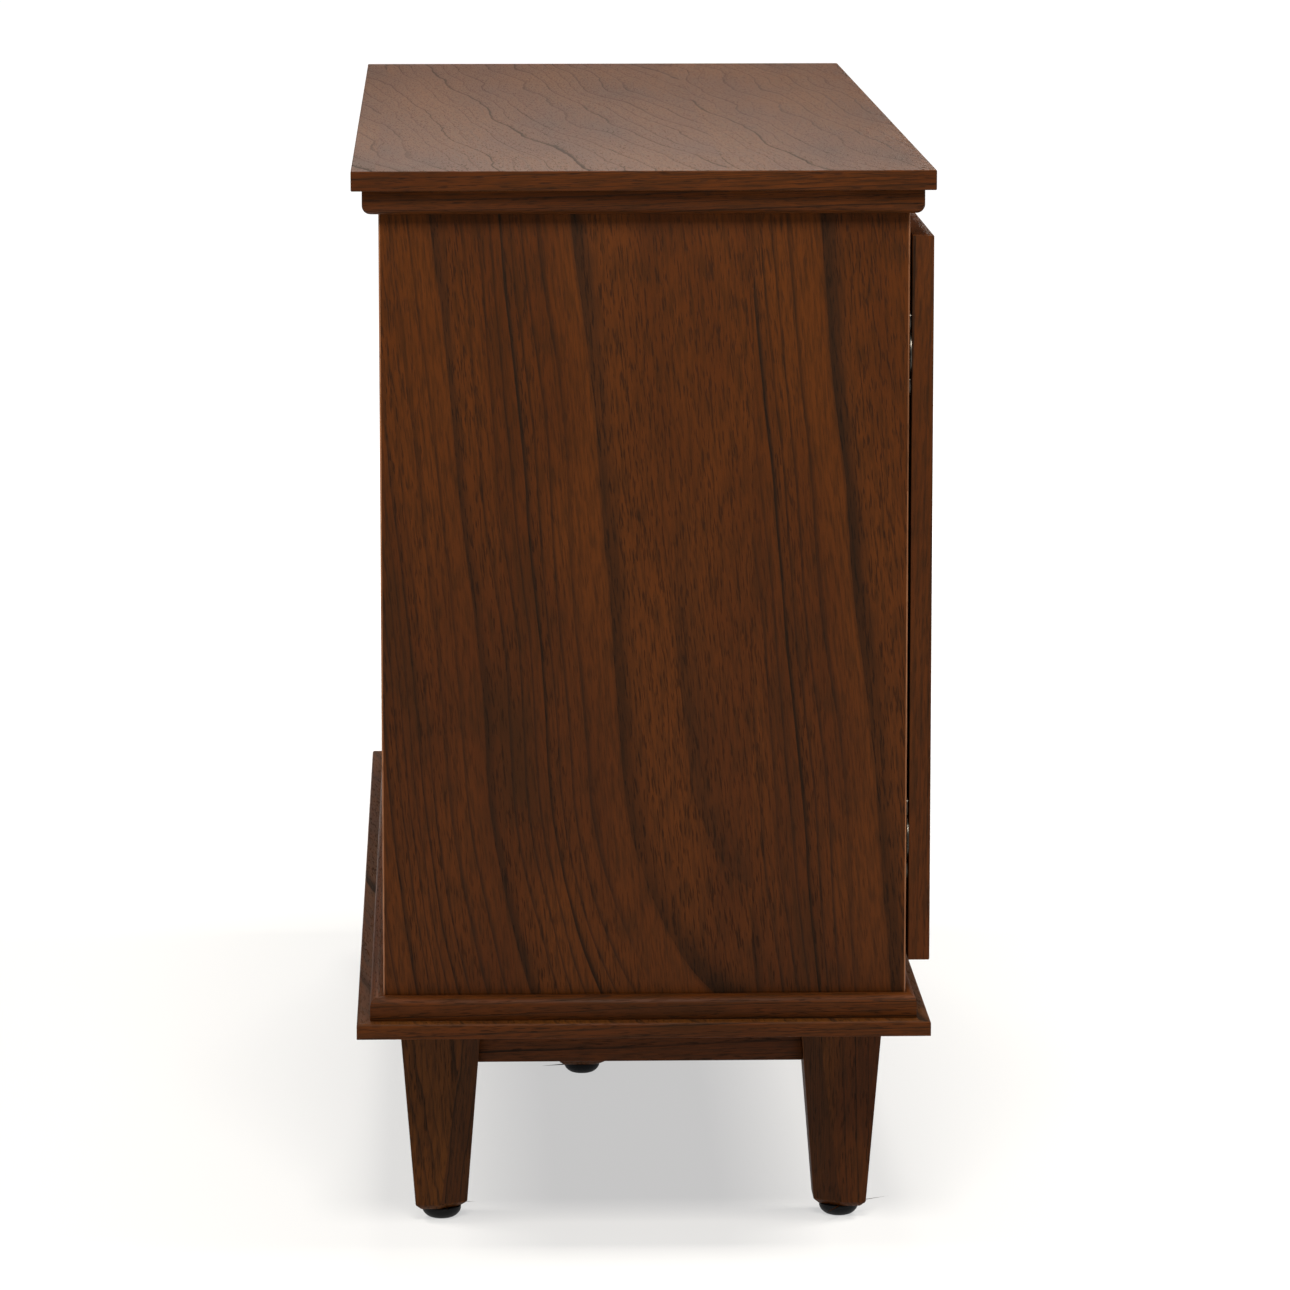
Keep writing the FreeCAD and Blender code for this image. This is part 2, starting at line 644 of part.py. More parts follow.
def hinge_arm(name, side, z):
    """The arm on the side panel, whose nose reaches into the closed door's cup."""
    arm_x = either_side(side, f"{INNER_END} - plate_thick - arm_high", f"{INNER_END} - plate_thick")
    arm_y = (f"{CARCASS_FRONT} - arm_reach", f"{CARCASS_FRONT} - arm_reach + arm_long")
    return board(name, arm_x, arm_y, (f"{z} - arm_wide / 2", f"{z} + arm_wide / 2"))


def hinge_plate(name, side, z):
    plate_x = either_side(side, f"{INNER_END} - plate_thick", INNER_END)
    middle = f"{CARCASS_FRONT} + plate_set"
    plate_y = (f"{middle} - plate_wide / 2", f"{middle} + plate_wide / 2")
    return board(name, plate_x, plate_y, (f"{z} - plate_high / 2", f"{z} + plate_high / 2"))


arms = []
plates = []
for side in SIDES:
    door_x = either_side(side, DOOR_INNER, DOOR_OUTER)
    door = front_board(f"door_{side}", door_x, ("front_foot", "front_head"),
                       (mirrored(side, KNOB_X), "knob_level"))
    cups = []
    for i, z in enumerate(HINGE_LEVELS):
        bore(door, "XZ_Plane", f"-{DOOR_BACK}", (mirrored(side, CUP_X), z), "cup_radius", "cup_deep", True)
        cups.append(hinge_cup(f"{side}_cup_{i}", side, z))
        arms.append(hinge_arm(f"{side}_arm_{i}", side, z))
        plates.append(hinge_plate(f"{side}_plate_{i}", side, z))
    node(f"door_{side}", door)
    node(f"hinge_cups_{side}", group(f"hinge_cups_{side}", cups))
    knob(f"knob_{side}", mirrored(side, KNOB_X), "knob_level")
node("hinge_arms", group("hinge_arms", arms))
node("hinge_plates", group("hinge_plates", plates))


# Drawers and runners

FRONT_RISE = f"((front_head - front_foot - {len(DRAWERS) - 1} * seam) / {len(DRAWERS)})"
BOX_OUTER = f"({BANK_INNER} - box_play)"
BOX_INNER = f"({BOX_OUTER} - box_side)"
BOX_BACK = f"({DOOR_BACK} + box_long)"
runners = []
for i, level in enumerate(DRAWERS):
    foot = f"(front_foot + {i} * ({FRONT_RISE} + seam))"
    head = f"({foot} + {FRONT_RISE})"
    box_foot = f"({foot} + box_lift)"
    box_head = f"({box_foot} + box_high)"
    bottom_foot = f"({box_foot} + bottom_lift)"
    bottom_head = f"({bottom_foot} + box_bottom)"
    runner_foot = f"({box_foot} + runner_lift)"
    runner_head = f"({runner_foot} + runner_high)"

    front_x = ("-(bank / 2 - seam / 2)", "bank / 2 - seam / 2")
    middle = ("0", f"({foot} + {head}) / 2")
    node(f"drawer_front_{level}", front_board(f"drawer_front_{level}", front_x, (foot, head), middle))
    knob(f"knob_{level}", *middle)

    sides = []
    for side in SIDES:
        blank = board(f"{level}_{side}_blank", either_side(side, BOX_INNER, BOX_OUTER),
                      (DOOR_BACK, BOX_BACK), (box_foot, box_head))
        runner_groove = board(f"{level}_{side}_runner_groove",
                              either_side(side, f"{BOX_OUTER} - runner_reach", BOX_OUTER),
                              (f"{DOOR_BACK} + groove_stop", BOX_BACK),
                              (f"{runner_foot} - runner_play", f"{runner_head} + runner_play"))
        bottom_slot = board(f"{level}_{side}_bottom_slot",
                            either_side(side, BOX_INNER, f"{BOX_INNER} + bottom_groove"),
                            (DOOR_BACK, BOX_BACK), (bottom_foot, bottom_head))
        sides.append(cut(f"{level}_{side}_side", blank, [runner_groove, bottom_slot]))
        runners.append(board(f"{level}_{side}_runner",
                             either_side(side, f"{BANK_INNER} - runner_reach", BANK_INNER),
                             (f"{CARCASS_FRONT} + runner_set", f"{CARCASS_FRONT} + runner_set + runner_long"),
                             (runner_foot, runner_head)))
    node(f"drawer_sides_{level}", group(f"drawer_sides_{level}", sides))

    bottom_x = f"({BOX_INNER} + bottom_groove)"
    node(f"drawer_bottom_{level}", board(f"drawer_bottom_{level}", (f"-{bottom_x}", bottom_x),
                                         (DOOR_BACK, BOX_BACK), (bottom_foot, bottom_head)))
    node(f"drawer_back_{level}", board(f"drawer_back_{level}", (f"-{BOX_INNER}", BOX_INNER),
                                       (f"{BOX_BACK} - box_back", BOX_BACK), (bottom_head, box_head)))
node("drawer_runners", group("drawer_runners", runners))


# Check every object, then write one file for each piece

doc.recompute()
failed = [item.Name for item in doc.Objects if {"Invalid", "Error"} & set(item.State)]
failed += [piece.Label for piece in nodes if piece.Shape.isNull() or not piece.Shape.isValid()]
if failed:
    raise RuntimeError(f"not built: {failed}")

os.makedirs("parts", exist_ok=True)
for piece in nodes:
    piece.Shape.exportStep(os.path.join("parts", f"{piece.Label}.step"))
    print(piece.Label, len(piece.Shape.Solids), round(piece.Shape.Volume))
print(len(nodes), "pieces")
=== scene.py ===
# %% [markdown]
# # A walnut sideboard
#
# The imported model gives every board, hinge and runner at its real place and size, in metres. This lesson
# dresses it: first the camera and the light, then the finishes, then the pieces that need finer shapes than
# a board has. The length runs along X, the doors face -Y, and Z is up.

# %% Load the frame
import json
import math

import bpy
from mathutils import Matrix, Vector


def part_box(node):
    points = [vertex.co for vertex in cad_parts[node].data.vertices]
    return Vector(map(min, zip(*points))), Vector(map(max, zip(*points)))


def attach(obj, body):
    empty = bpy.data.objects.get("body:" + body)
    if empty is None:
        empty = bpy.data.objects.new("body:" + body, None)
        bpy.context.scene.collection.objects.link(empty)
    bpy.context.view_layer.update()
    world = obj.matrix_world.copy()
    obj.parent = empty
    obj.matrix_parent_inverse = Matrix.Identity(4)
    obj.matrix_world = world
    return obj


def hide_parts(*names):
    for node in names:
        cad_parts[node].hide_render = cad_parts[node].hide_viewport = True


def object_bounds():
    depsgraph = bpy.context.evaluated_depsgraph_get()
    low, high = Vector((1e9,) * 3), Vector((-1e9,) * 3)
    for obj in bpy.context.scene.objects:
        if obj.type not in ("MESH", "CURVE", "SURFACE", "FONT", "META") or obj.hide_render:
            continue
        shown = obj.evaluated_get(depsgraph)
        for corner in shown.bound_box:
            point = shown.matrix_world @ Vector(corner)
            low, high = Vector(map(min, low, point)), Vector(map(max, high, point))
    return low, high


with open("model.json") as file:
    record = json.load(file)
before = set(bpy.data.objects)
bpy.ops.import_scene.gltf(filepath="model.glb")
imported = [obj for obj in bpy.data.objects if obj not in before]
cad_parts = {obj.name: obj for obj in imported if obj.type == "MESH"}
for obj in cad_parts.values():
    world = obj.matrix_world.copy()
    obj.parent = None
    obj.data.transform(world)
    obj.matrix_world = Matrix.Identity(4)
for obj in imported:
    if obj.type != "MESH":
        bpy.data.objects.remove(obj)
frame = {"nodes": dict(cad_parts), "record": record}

cad_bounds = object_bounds()
nodes = frame["nodes"]
low, high = cad_bounds
print("sideboard", [round(edge, 3) for edge in high - low], "m,", len(nodes), "nodes")

# %% [markdown]
# ## Camera
#
# A cabinet looks like its own drawing when it is seen from far off through a long lens, because near and
# far edges come out at almost the same size. The camera stands about four and three quarter metres from the
# near end, a little above the top, and looks down nine degrees, so that the top shows as a thin trapezium.

# %% Place the camera
CAMERA_PLACE = Vector((-5.294, 0.1615, 1.2016))
CAMERA_TURN = math.radians(1.83)
CAMERA_DIP = math.radians(8.972)
CAMERA_LENS_MM = 178.35
SIGHT_LIMIT = 100

camera_data = bpy.data.cameras.new("camera")
camera = bpy.data.objects.new("camera", camera_data)
bpy.context.collection.objects.link(camera)
sight = Vector((
    math.cos(CAMERA_DIP) * math.cos(CAMERA_TURN),
    -math.cos(CAMERA_DIP) * math.sin(CAMERA_TURN),
    -math.sin(CAMERA_DIP),
))
camera.location = CAMERA_PLACE
camera.rotation_euler = sight.to_track_quat("-Z", "Y").to_euler()
camera_data.lens = CAMERA_LENS_MM
camera_data.clip_end = SIGHT_LIMIT
bpy.context.scene.camera = camera
print("camera is", round(low.x - CAMERA_PLACE.x, 2), "m from the near end")

# %% [markdown]
# ## Floor and light
#
# The studio is a pale floor and four soft boxes, one for each side of the cabinet, hung above head height.
# Light that comes down at a slant puts the strip under the top in the shadow of its overhang, and leaves
# what an upright face mirrors dark, so that the stain stays deep.

# %% Lay the floor
FLOOR_SIZE = 60
bpy.ops.object.select_all(action="DESELECT")
bpy.ops.mesh.primitive_plane_add(size=FLOOR_SIZE, location=(0, 0, low.z))
floor = bpy.context.object
floor.name = "studio_floor"
print("floor at", round(low.z, 4))

# %% Hang the soft boxes
BOX_SIZE = 1.5
BOX_DISTANCE = 2.5
BOX_HEIGHT = 3.9
BOX_WATTS = {"left": 200, "right": 140, "front": 190, "back": 150}
BOX_WARMTH = (1.0, 0.96, 0.89)
SIDE_WAYS = {"left": (-1, 0), "right": (1, 0), "front": (0, -1), "back": (0, 1)}
middle = (low + high) / 2
for side, (way_x, way_y) in SIDE_WAYS.items():
    light_data = bpy.data.lights.new(f"soft_box_{side}", "AREA")
    light_data.shape = "SQUARE"
    light_data.size = BOX_SIZE
    light_data.energy = BOX_WATTS[side]
    light_data.color = BOX_WARMTH
    light = bpy.data.objects.new(light_data.name, light_data)
    bpy.context.collection.objects.link(light)
    light.location = (
        way_x * (high.x + BOX_DISTANCE),
        way_y * (high.y + BOX_DISTANCE),
        BOX_HEIGHT,
    )
    light.rotation_euler = (middle - light.location).to_track_quat("-Z", "Y").to_euler()
print(len(SIDE_WAYS), "soft boxes,", BOX_HEIGHT, "m above the floor")


# %% [markdown]
# ## Finishes
#
# Every finish is a small tree of shader nodes on a Principled surface. One helper adds a node, sets it and
# links it, and one function turns the listed sRGB colours into the linear ones that light needs.

# %% Helpers for the finishes
mm = 0.001


def linear(code):
    """An sRGB hex colour as the linear red, green, blue and alpha that a socket takes."""
    channels = [int(code[place:place + 2], 16) / 255 for place in (0, 2, 4)]
    return tuple(c / 12.92 if c <= 0.04045 else ((c + 0.055) / 1.055) ** 2.4 for c in channels) + (1.0,)


def add(tree, kind, settings=None, links=None, stops=None):
    """Add a shader node. Settings name its properties or inputs, links name the inputs that others feed, and
    stops are the places and shades of a ramp."""
    node = tree.nodes.new("ShaderNode" + kind)
    for name, value in (settings or {}).items():
        if isinstance(name, int) or name in node.inputs:
            node.inputs[name].default_value = value
        else:
            setattr(node, name, value)
    for name, source in (links or {}).items():
        tree.links.new(source, node.inputs[name])
    if stops:
        ramp = node.color_ramp.elements
        while len(ramp) < len(stops):
            ramp.new(0.5)
        for stop, (place, shade) in zip(ramp, stops):
            stop.position = place
            stop.color = shade if isinstance(shade, tuple) else (shade, shade, shade, 1.0)
    return node.outputs


def surface(name, settings):
    """A new finish with one Principled surface, and the tree that feeds it."""
    material = bpy.data.materials.new(name)
    material.use_nodes = True
    tree = material.node_tree
    principled = tree.nodes["Principled BSDF"]
    for socket, value in settings.items():
        principled.inputs[socket].default_value = value
    return material, tree, principled


# %% [markdown]
# ## Room
#
# The room is a plain white backdrop. What the camera sees of it is full white, and what it gives as light
# is only a dim glow, because a bright room would lay a grey veil over dark wood. Light Path tells the two
# kinds of ray apart.

# %% Light the room
ROOM_SEEN = 1.0
ROOM_GLOW = 0.16
world = bpy.data.worlds.new("studio")
bpy.context.scene.world = world
world.use_nodes = True
room = world.node_tree
sight_ray = add(room, "LightPath")["Is Camera Ray"]
glow = add(room, "Mix", {"A": ROOM_GLOW, "B": ROOM_SEEN}, {"Factor": sight_ray})["Result"]
room.links.new(glow, room.nodes["Background"].inputs["Strength"])
room.nodes["Background"].inputs["Color"].default_value = linear("ffffff")
bpy.context.scene.view_settings.view_transform = "Standard"
print("room gives", ROOM_GLOW, "of the light that it shows")

# %% [markdown]
# ## Floor paint
#
# A studio floor is matt paint that curves up into the backdrop. Here it stays flat, and it glows more the
# further it lies from the cabinet, so that it meets the white room without a seam. Close to the cabinet the
# glow is weaker and the soft shadow of the boxes shows on the grey under it.

# %% Paint the floor
floor_paint, floor_tree, floor_surface = surface("floor_paint", {
    "Base Color": linear("909090"),
    "Roughness": 0.9,
    "Specular IOR Level": 0.0,
    "Emission Color": linear("ffffff"),
})
GLOW_NEAR = 0.9
GLOW_FAR = 3.6
GLOW_INSIDE = 0.55
floor_place = add(floor_tree, "TexCoord")["Object"]
floor_radius = add(floor_tree, "VectorMath", {"operation": "LENGTH"}, {0: floor_place})["Value"]
floor_glow = add(floor_tree, "MapRange",
                 {"interpolation_type": "SMOOTHSTEP", 1: GLOW_NEAR, 2: GLOW_FAR, 3: GLOW_INSIDE, 4: 1.0},
                 {0: floor_radius})[0]
floor_tree.links.new(floor_glow, floor_surface.inputs["Emission Strength"])
floor.data.materials.append(floor_paint)
print("floor glows fully from", GLOW_FAR, "m out")

# %% [markdown]
# ## Walnut
#
# The wood is an open-grained veneer, stained walnut brown and sprayed with satin lacquer. What the eye
# reads as wood is the growth ring: a band that darkens slowly and ends sharply, where one year stops and
# the next starts. A tree's rings are cylinders round its pith, so a board shows nearly straight lines when
# it is sawn far from the pith and arches when it is sawn close to it. The finish copies this: it measures
# how far a point is from a pith line, wobbles that distance with slow noise, and cuts it into years of
# uneven width. Fibres and pores, which are fine and very long along the grain, are laid over it.
#
# Each kind of board gets its own pith line, lean and ring width, so that faces that meet show different
# figures.

# %% Colours of the stained wood
STAIN_LIGHT = "4e270a"
STAIN_MID = "432008"
STAIN_DEEP = "2f1907"
RING_DARK = "1a1007"
PORE_DARK = "130b05"
# painted light: the slabs, whose broad faces look up to the lamps, get a slightly lighter, warmer stain
TOP_LIGHT = "4c2a0b"
TOP_MID = "42220a"
LEG_LIGHT = "4f2b0c"
STAIN = (STAIN_LIGHT, STAIN_MID, STAIN_DEEP, RING_DARK, PORE_DARK)


# %% Where a point lies in the log
SHEET_SLIP_ACROSS = -0.21
SHEET_SLIP_ALONG = -0.27


def log_point(tree, axes, pith, lean, leaf):
    """A point's places across, through and along the grain, from the pith. Each sheet of veneer is a leaf
    wide and takes its own stretch of the log."""
    place = add(tree, "TexCoord")["Object"]
    centred = add(tree, "Mapping", {"Location": [-edge for edge in pith]}, {"Vector": place})[0]
    split = add(tree, "SeparateXYZ", {}, {0: centred})
    across, through, along = [split["xyz".index(axis)] for axis in axes]
    sheet = add(tree, "Math", {"operation": "DIVIDE", 1: leaf}, {0: across})[0]
    sheet = add(tree, "Math", {"operation": "FLOOR"}, {0: sheet})[0]
    across = add(tree, "Math", {"operation": "MULTIPLY_ADD", 1: SHEET_SLIP_ACROSS}, {0: sheet, 2: across})[0]
    along = add(tree, "Math", {"operation": "MULTIPLY_ADD", 1: SHEET_SLIP_ALONG}, {0: sheet, 2: along})[0]
    leaning = add(tree, "Math", {"operation": "MULTIPLY_ADD", 1: lean}, {0: along, 2: across})[0]
    return leaning, through, along


def grain_noise(tree, point, size, share, detail):
    """Noise of a size in mm across the grain. Only a share of the way along counts, which draws it out."""
    across, through, along = point
    shortened = add(tree, "Math", {"operation": "MULTIPLY", 1: share}, {0: along})[0]
    drawn_out = add(tree, "CombineXYZ", {}, {0: across, 1: through, 2: shortened})[0]
    settings = {"Scale": 1 / (size * mm), "Detail": detail, "Roughness": 0.55}
    return add(tree, "TexNoise", settings, {"Vector": drawn_out})[0]


# %% Count the years from the pith
RIPPLE_SIZE = 22
SLOW_RINGS = 2.2
UNEVENNESS = 1.6


def from_pith(tree, point, arch, wander, ripple, wave):
    """The distance to the pith, after slow waves and quick ripples have pushed the wood aside."""
    across, through, along = point
    waves = grain_noise(tree, point, wave, 0.3, 1)
    waves = add(tree, "MapRange", {3: -wander * mm, 4: wander * mm}, {0: waves})[0]
    ripples = grain_noise(tree, point, RIPPLE_SIZE, 0.35, 3)
    ripples = add(tree, "MapRange", {3: -ripple * mm, 4: ripple * mm}, {0: ripples})[0]
    pushed = add(tree, "Math", {"operation": "ADD"}, {0: across, 1: waves})[0]
    pushed = add(tree, "Math", {"operation": "ADD"}, {0: pushed, 1: ripples})[0]

    # below the pith's own level the distance grows, which bends the rings into arches
    fallen = add(tree, "Math", {"operation": "MULTIPLY", 1: -arch}, {0: along})[0]
    fallen = add(tree, "Math", {"operation": "MAXIMUM", 1: 0.0}, {0: fallen})[0]
    reach = add(tree, "CombineXYZ", {}, {0: pushed, 1: through, 2: fallen})[0]
    return add(tree, "VectorMath", {"operation": "LENGTH"}, {0: reach})["Value"]


def years_grown(tree, distance, ring):
    """The distance as a number of years, which are about a ring wide but uneven."""
    slow = add(tree, "Math", {"operation": "DIVIDE", 1: SLOW_RINGS * ring * mm}, {0: distance})[0]
    uneven = add(tree, "TexNoise", {"noise_dimensions": "1D", "Scale": 1.0, "Detail": 1}, {"W": slow})[0]
    years = add(tree, "Math", {"operation": "DIVIDE", 1: ring * mm}, {0: distance})[0]
    return add(tree, "Math", {"operation": "MULTIPLY_ADD", 1: UNEVENNESS}, {0: uneven, 2: years})[0]


# %% Draw the rings
PATCH_SIZE = 16
STRETCH_SIZE = 70
NARROW_SHARE = 4.0
YEAR_END = [(0.0, 0.4), (0.02, 0.0), (0.72, 0.0), (0.9, 0.14), (0.955, 0.9), (0.985, 1.0)]
NARROW_END = [(0.0, 0.3), (0.06, 0.0), (0.74, 0.0), (0.94, 1.0)]


def year_lines(tree, point, years, season):
    """A dark line at the end of each year, which has its own strength and is patchy along its length."""
    year = add(tree, "Math", {"operation": "FLOOR"}, {0: years})[0]
    vigour = add(tree, "TexWhiteNoise", {"noise_dimensions": "1D"}, {"W": year})[0]
    vigour = add(tree, "MapRange", {3: 0.35, 4: 1.0}, {0: vigour})[0]
    line = add(tree, "ValToRGB", {}, {0: season}, YEAR_END)[0]
    line = add(tree, "Math", {"operation": "MULTIPLY"}, {0: line, 1: vigour})[0]
    patches = grain_noise(tree, point, PATCH_SIZE, 0.12, 2)
    patches = add(tree, "MapRange", {1: 0.3, 2: 0.6, 3: 0.55, 4: 1.0}, {0: patches})[0]
    return add(tree, "Math", {"operation": "MULTIPLY"}, {0: line, 1: patches})[0]


def narrow_lines(tree, point, years, fine):
    """Narrow years between the strong lines, in some stretches only."""
    narrow = add(tree, "Math", {"operation": "MULTIPLY", 1: NARROW_SHARE}, {0: years})[0]
    narrow = add(tree, "Math", {"operation": "FRACT"}, {0: narrow})[0]
    narrow = add(tree, "ValToRGB", {}, {0: narrow}, NARROW_END)[0]
    stretches = grain_noise(tree, point, STRETCH_SIZE, 0.12, 1)
    stretches = add(tree, "MapRange", {1: 0.4, 2: 0.56, 3: 0.12, 4: fine}, {0: stretches})[0]
    return add(tree, "Math", {"operation": "MULTIPLY"}, {0: narrow, 1: stretches})[0]


# %% Pores, stain and lacquer
FIBRE_SIZE = 2.6
PORE_SIZE = 1.1
CLOUD_SIZE = 75


def open_pores(tree, point, season):
    """Fine dark dashes, which lie thicker in the late part of each year."""
    pores = grain_noise(tree, point, PORE_SIZE, 0.1, 1)
    pores = add(tree, "MapRange", {1: 0.55, 2: 0.67}, {0: pores})[0]
    late = add(tree, "MapRange", {3: 0.35, 4: 1.0}, {0: season})[0]
    return add(tree, "Math", {"operation": "MULTIPLY"}, {0: pores, 1: late})[0]


def stained(tree, under, over, pattern, amount):
    """Lay a colour over another where a pattern is strong."""
    share = add(tree, "Math", {"operation": "MULTIPLY", 1: amount}, {0: pattern})[0]
    return add(tree, "Mix", {"data_type": "RGBA", 7: over}, {0: share, 6: under})[2]


def lacquered(tree, principled, fibre, line, pores, gloss):
    """The lacquer sinks into pores and soft bands, which stay duller and a little lower."""
    relief = add(tree, "Math", {"operation": "MULTIPLY_ADD", 1: -0.5}, {0: line, 2: fibre})[0]
    relief = add(tree, "Math", {"operation": "MULTIPLY_ADD", 1: -0.8}, {0: pores, 2: relief})[0]
    bump = add(tree, "Bump", {"Strength": 0.6, "Distance": 0.25 * mm}, {"Height": relief})[0]
    tree.links.new(bump, principled.inputs["Normal"])
    dull = add(tree, "Math", {"operation": "MAXIMUM"}, {0: pores, 1: line})[0]
    dull = add(tree, "MapRange", {3: gloss, 4: gloss + 0.24}, {0: dull})[0]
    tree.links.new(dull, principled.inputs["Roughness"])


# %% The walnut finish
def grained(name, axes, pith, lean=0.0, arch=0.0, leaf=9.0, ring=26, wander=14, ripple=1.2, fine=0.8,
            wave=90, gloss=0.46, colours=STAIN):
    """Stained open-grain wood. Axes names the directions across, through and along the grain, and pith is a
    point that the rings grow round. Ring, wander, ripple and wave are in mm, leaf is in metres, lean and arch
    are slopes, and fine is how strongly the narrow years show."""
    light, mid, deep, dark, pore = [linear(code) for code in colours]
    material, tree, principled = surface(name, {"IOR": 1.46, "Specular IOR Level": 0.08})
    point = log_point(tree, axes, pith, lean, leaf)
    years = years_grown(tree, from_pith(tree, point, arch, wander, ripple, wave), ring)
    season = add(tree, "Math", {"operation": "FRACT"}, {0: years})[0]
    line = year_lines(tree, point, years, season)
    narrow = narrow_lines(tree, point, years, fine)
    pores = open_pores(tree, point, season)
    fibre = grain_noise(tree, point, FIBRE_SIZE, 0.1, 4)
    streaks = add(tree, "MapRange", {1: 0.42, 2: 0.68}, {0: fibre})[0]

    cloud = grain_noise(tree, point, CLOUD_SIZE, 0.25, 3)
    tone = add(tree, "ValToRGB", {}, {0: cloud}, [(0.26, deep), (0.4, mid), (0.62, light)])[0]
    tone = stained(tree, tone, deep, streaks, 0.75)
    tone = stained(tree, tone, dark, narrow, 0.62)
    tone = stained(tree, tone, dark, line, 0.92)
    tone = stained(tree, tone, pore, pores, 0.65)
    tree.links.new(tone, principled.inputs["Base Color"])
    lacquered(tree, principled, fibre, line, pores, gloss)
    return material


# %% One log, many boards
# the slabs' colours are a slightly lighter copy of the stain, painted light for faces turned up to the lamps
LIT_TOP_COLOURS = (TOP_LIGHT, TOP_MID, STAIN_DEEP, RING_DARK, PORE_DARK)
LEG_COLOURS = (LEG_LIGHT, STAIN_MID, STAIN_DEEP, RING_DARK, PORE_DARK)
# painted shade: a darker copy of the leg stain for the facets, so that they read as the shaded side
FACET_SHADE_COLOURS = ("43240a", "391b07", STAIN_DEEP, RING_DARK, PORE_DARK)
# painted highlight: lighter colours for the rounded edges of the side panels, where light catches them
EDGE_HIGHLIGHT_COLOURS = ("8d6043", "825639", "74492f", "57351f", "412817")
SEALED_COLOURS = ("a27449", "93663d", "7d5532", "66432a", "4d331f")
PLY_COLOURS = ("6b452b", "5f3c25", "4f311f", "3d2618", "2b1b11")
STRIP = {"ring": 9, "wander": 5}
HARDWOOD = {"pith": (0.2, 0.1, 0.1), "lean": 0.02, "ring": 11, "wander": 8, "ripple": 0.6, "gloss": 0.5,
            "colours": SEALED_COLOURS}
WOODS = {
    "walnut_left_end": {"axes": "yxz", "pith": (0, -0.07, 0.36), "lean": -0.09, "arch": 0.5, "ring": 16,
                        "fine": 0.95, "leaf": 0.3},
    "walnut_right_end": {"axes": "yxz", "pith": (0.1, -0.02, 0.45), "lean": 0.06, "arch": 0.2, "leaf": 0.25},
    "walnut_top": {"axes": "yzx", "pith": (0.6, -0.05, 0.80), "lean": -0.08, "arch": 0.1, "ring": 15,
                   "wander": 26, "ripple": 4.5, "wave": 85, "leaf": 0.26, "colours": LIT_TOP_COLOURS},
    "walnut_fronts": {"axes": "xyz", "pith": (-0.1, -0.2, 0.5), "lean": 0.04, "arch": 0.15, "leaf": 0.2},
    "walnut_strip_x": {"axes": "zyx", "pith": (0.3, -0.25, 0.45), "lean": 0.02, **STRIP},
    "walnut_strip_y": {"axes": "zxy", "pith": (-0.6, 0.1, 0.45), "lean": 0.03, **STRIP},
    "walnut_strip_z": {"axes": "yxz", "pith": (0.4, 0.45, 0.3), "lean": 0.02, **STRIP},
    # a painted highlight on the side panels' rounded edges, in lighter colours
    "walnut_edge_highlight": {"axes": "yxz", "pith": (0.4, 0.45, 0.3), "lean": 0.02, **STRIP,
                      "colours": EDGE_HIGHLIGHT_COLOURS},
    "walnut_legs": {"axes": "xyz", "pith": (0.2, 0.3, 0.0), "lean": 0.05, "ring": 8, "wander": 6,
                    "colours": LEG_COLOURS},
    # the facets' finish is a painted shade, darker than the legs' own
    "walnut_leg_facet_shade": {"axes": "xyz", "pith": (0.25, 0.3, 0.0), "lean": 0.12, "ring": 6, "wander": 6,
                          "colours": FACET_SHADE_COLOURS},
    "walnut_inside": {"axes": "yzx", "pith": (0.2, 0.1, 0.2), "lean": 0.03, "ring": 22, "leaf": 0.3},
    "sealed_hardwood": {"axes": "zxy", **HARDWOOD},
    "sealed_hardwood_cross": {"axes": "zyx", **HARDWOOD},
    "stained_plywood": {"axes": "zyx", "pith": (0.1, 0.4, 0.6), "lean": 0.03, "ring": 15, "wander": 20,
                        "wave": 120, "leaf": 0.4, "colours": PLY_COLOURS, "gloss": 0.62},
}
FINISHES = {name: grained(name, **wood) for name, wood in WOODS.items()}
print(len(FINISHES), "kinds of wood")

# %% [markdown]
# ## Metal and plastic
#
# Zinc plate on screws is a thin bright coat with a faint mottle where its crystals lie. The hinges are
# pressed steel under nickel, smoother and warmer, with fine marks from the press; their nickel is far darker
# than bright nickel, a painted shade for metal that sits in the shade inside the cabinet. The knobs are brass
# that was darkened and rubbed back, so it is bright where fingers reach and brown in the hollows. The glides
# are moulded black plastic with a spark-eroded grain, which breaks the highlight up.


# %% Metal and plastic finishes
def mottled(name, dark, light, rough, metallic, size, relief, stretch=(1, 1, 1), sheen=0.5):
    """A finish whose colour, gloss and height all follow one noise. Its size and the relief are in mm."""
    material, tree, principled = surface(name, {"Metallic": metallic, "Specular IOR Level": sheen})
    place = add(tree, "TexCoord")["Object"]
    drawn = add(tree, "Mapping", {"Scale": stretch}, {"Vector": place})[0]
    spots = add(tree, "TexNoise", {"Scale": 1 / (size * mm), "Detail": 4}, {"Vector": drawn})[0]
    colour = add(tree, "ValToRGB", {}, {0: spots}, [(0.35, linear(dark)), (0.65, linear(light))])[0]
    gloss = add(tree, "MapRange", {1: 0.3, 2: 0.7, 3: rough + 0.08, 4: rough - 0.06}, {0: spots})[0]
    bump = add(tree, "Bump", {"Strength": 0.4, "Distance": relief * mm}, {"Height": spots})[0]
    tree.links.new(colour, principled.inputs["Base Color"])
    tree.links.new(gloss, principled.inputs["Roughness"])
    tree.links.new(bump, principled.inputs["Normal"])
    return material


